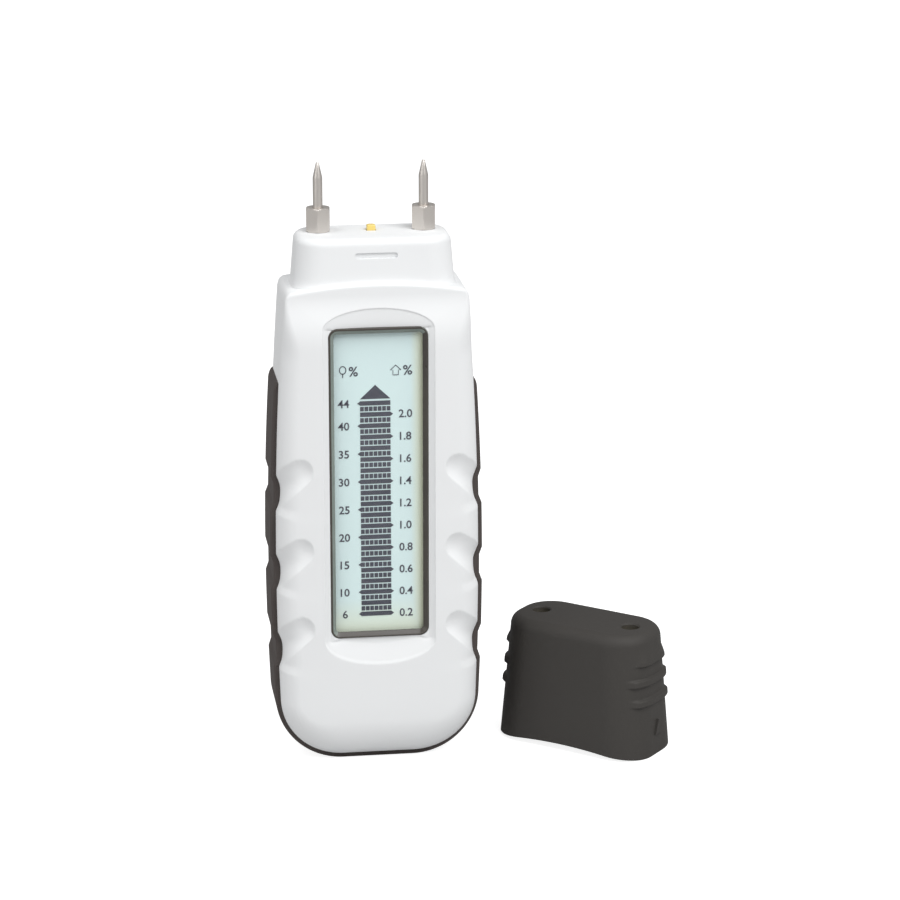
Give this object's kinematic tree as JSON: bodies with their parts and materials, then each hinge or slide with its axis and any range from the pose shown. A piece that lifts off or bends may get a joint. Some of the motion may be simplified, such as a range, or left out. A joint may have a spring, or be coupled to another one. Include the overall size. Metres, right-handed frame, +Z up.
{
  "type": "pin-type moisture meter",
  "caption": "Handheld pin moisture meter with a bar display, rubber side grip, hex-collared needles and its protective cap standing beside it.",
  "frame": {"origin": "middle of the flat foot that the meter stands on", "axes": "+X to the right seen from the display side, -Y out of the display, +Z up towards the needles"},
  "size_m": [0.0896, 0.0346, 0.1339],
  "materials": {
    "white_case": "cool off-white moulded plastic, satin",
    "grip_rubber": "dark brown-grey soft rubber, satin",
    "bezel_plastic": "dark grey frame, semi-gloss",
    "clear_window": "clear window",
    "lcd_glass": "pale green display glass",
    "light_guide": "milky light guide",
    "holder_plastic": "plain moulded plastic",
    "elastomer": "layered contact rubber",
    "circuit_board": "green lacquered board",
    "black_epoxy": "black moulded package",
    "component_body": "small ceramic chips",
    "crystal_can": "drawn metal can",
    "screw_steel": "zinc-plated steel",
    "spring_steel": "bright spring wire",
    "contact_brass": "brass, lightly tarnished",
    "contact_nickel": "nickel-plated strip",
    "cell_steel": "stainless cell can",
    "plunger_yellow": "yellow plastic",
    "needle_steel": "bright nickel-plated steel",
    "collar_nickel": "bright nickel-plated steel",
    "door_plastic": "off-white moulded plastic",
    "seal_rubber": "black rubber",
    "foam_pad": "grey foam",
    "cap_plastic": "dark charcoal moulded plastic, satin",
    "contact_gold": "gold-plated contact"
  },
  "bodies": {
    "meter": {"front_case": "white_case", "rear_case": "white_case", "grip_boot": "grip_rubber", "window_bezel": "bezel_plastic", "window_lens": "clear_window", "lcd_glass": "lcd_glass", "lcd_backlight": "light_guide", "lcd_holder": "holder_plastic", "zebra_strips": "elastomer", "main_board": "circuit_board", "controller_chip": "black_epoxy", "board_components": "component_body", "quartz_crystal": "crystal_can", "board_screws": "screw_steel", "case_screws": "screw_steel", "left_terminal": "contact_brass", "right_terminal": "contact_brass", "terminal_strips": "contact_brass", "switch_board": "circuit_board", "cap_switch": "black_epoxy", "plunger_spring": "spring_steel", "battery_cup": "holder_plastic", "battery_plus_contact": "contact_nickel", "battery_minus_contact": "contact_nickel", "coin_cell_1": "cell_steel", "coin_cell_2": "cell_steel", "coin_cell_3": "cell_steel"},
    "plunger": {"plunger": "plunger_yellow"},
    "left_electrode": {"left_needle": "needle_steel", "left_hex_collar": "collar_nickel"},
    "right_electrode": {"right_needle": "needle_steel", "right_hex_collar": "collar_nickel"},
    "battery_door": {"battery_door": "door_plastic", "door_seal": "seal_rubber", "door_pad": "foam_pad"},
    "cap": {"cap_shell": "cap_plastic", "cap_test_board": "circuit_board", "cap_test_contacts": "contact_gold", "cap_test_resistors": "black_epoxy", "cap_board_screws": "screw_steel"}
  },
  "joints": [
    {"name": "cap_lift", "type": "slide", "parent": "meter", "child": "cap", "axis": [0, 0, 1], "range_m": [0, 0.14]},
    {"name": "plunger_press", "type": "slide", "parent": "meter", "child": "plunger", "axis": [0, 0, -1], "range_m": [0, 0.001], "stiffness_N_per_m": 150, "deforming": ["plunger_spring"]},
    {"name": "battery_door_turn", "type": "hinge", "parent": "meter", "child": "battery_door", "pos_m": [0, 0.0112, 0.036], "axis": [0, 1, 0], "range_deg": [0, 60]},
    {"name": "left_electrode_out", "type": "slide", "parent": "meter", "child": "left_electrode", "axis": [0, 0, 1], "range_m": [0, 0.012]},
    {"name": "right_electrode_out", "type": "slide", "parent": "meter", "child": "right_electrode", "axis": [0, 0, 1], "range_m": [0, 0.012]}
  ]
}
